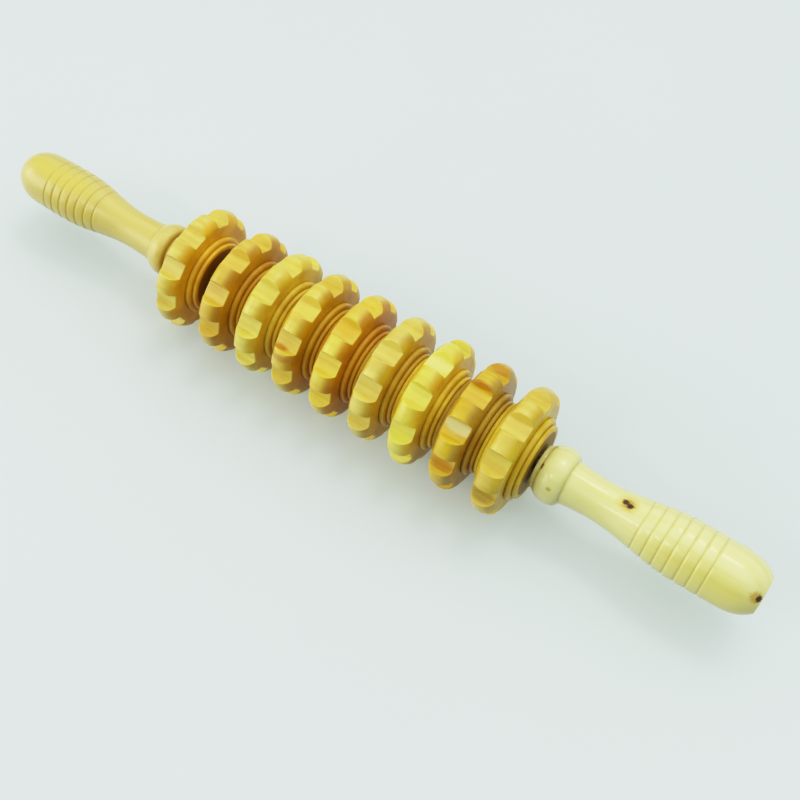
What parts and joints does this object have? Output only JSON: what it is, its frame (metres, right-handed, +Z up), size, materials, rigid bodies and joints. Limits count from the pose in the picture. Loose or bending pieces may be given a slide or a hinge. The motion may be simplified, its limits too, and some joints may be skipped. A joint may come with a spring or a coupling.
{
  "type": "foot massage roller",
  "caption": "Wooden massage stick: a row of toothed wheels spins freely on a steel rod between two turned handles, to be rolled under the feet or over the body.",
  "frame": {"origin": "on the rod's axis, midway between the two handle ends", "axes": "+X along the rod towards the right handle, +Z up, +Y away from the side that the picture shows"},
  "size_m": [0.4, 0.061, 0.061],
  "materials": {
    "rod_steel": "plain drawn steel",
    "handle_wood": "glossy clear lacquer",
    "wheel_1_wood": "satin clear lacquer",
    "wheel_2_wood": "satin clear lacquer",
    "wheel_3_wood": "satin clear lacquer",
    "wheel_4_wood": "satin clear lacquer",
    "wheel_5_wood": "satin clear lacquer",
    "wheel_6_wood": "satin clear lacquer",
    "wheel_7_wood": "satin clear lacquer",
    "wheel_8_wood": "satin clear lacquer",
    "wheel_9_wood": "satin clear lacquer"
  },
  "bodies": {
    "rod_and_handles": {"axle_rod": "rod_steel", "left_handle": "handle_wood", "right_handle": "handle_wood"},
    "wheel_1": {"wheel_1": "wheel_1_wood"},
    "wheel_2": {"wheel_2": "wheel_2_wood"},
    "wheel_3": {"wheel_3": "wheel_3_wood"},
    "wheel_4": {"wheel_4": "wheel_4_wood"},
    "wheel_5": {"wheel_5": "wheel_5_wood"},
    "wheel_6": {"wheel_6": "wheel_6_wood"},
    "wheel_7": {"wheel_7": "wheel_7_wood"},
    "wheel_8": {"wheel_8": "wheel_8_wood"},
    "wheel_9": {"wheel_9": "wheel_9_wood"}
  },
  "joints": [
    {"name": "wheel_1_spin", "type": "hinge", "parent": "rod_and_handles", "child": "wheel_1", "pos_m": [-0.0859, 0, 0], "axis": [1, 0, 0], "continuous": true},
    {"name": "wheel_2_spin", "type": "hinge", "parent": "rod_and_handles", "child": "wheel_2", "pos_m": [-0.05995, 0, 0], "axis": [1, 0, 0], "continuous": true},
    {"name": "wheel_3_spin", "type": "hinge", "parent": "rod_and_handles", "child": "wheel_3", "pos_m": [-0.0388, 0, 0], "axis": [1, 0, 0], "continuous": true},
    {"name": "wheel_4_spin", "type": "hinge", "parent": "rod_and_handles", "child": "wheel_4", "pos_m": [-0.01765, 0, 0], "axis": [1, 0, 0], "continuous": true},
    {"name": "wheel_5_spin", "type": "hinge", "parent": "rod_and_handles", "child": "wheel_5", "pos_m": [0.0035, 0, 0], "axis": [1, 0, 0], "continuous": true},
    {"name": "wheel_6_spin", "type": "hinge", "parent": "rod_and_handles", "child": "wheel_6", "pos_m": [0.02465, 0, 0], "axis": [1, 0, 0], "continuous": true},
    {"name": "wheel_7_spin", "type": "hinge", "parent": "rod_and_handles", "child": "wheel_7", "pos_m": [0.0458, 0, 0], "axis": [1, 0, 0], "continuous": true},
    {"name": "wheel_8_spin", "type": "hinge", "parent": "rod_and_handles", "child": "wheel_8", "pos_m": [0.06695, 0, 0], "axis": [1, 0, 0], "continuous": true},
    {"name": "wheel_9_spin", "type": "hinge", "parent": "rod_and_handles", "child": "wheel_9", "pos_m": [0.0881, 0, 0], "axis": [1, 0, 0], "continuous": true}
  ]
}
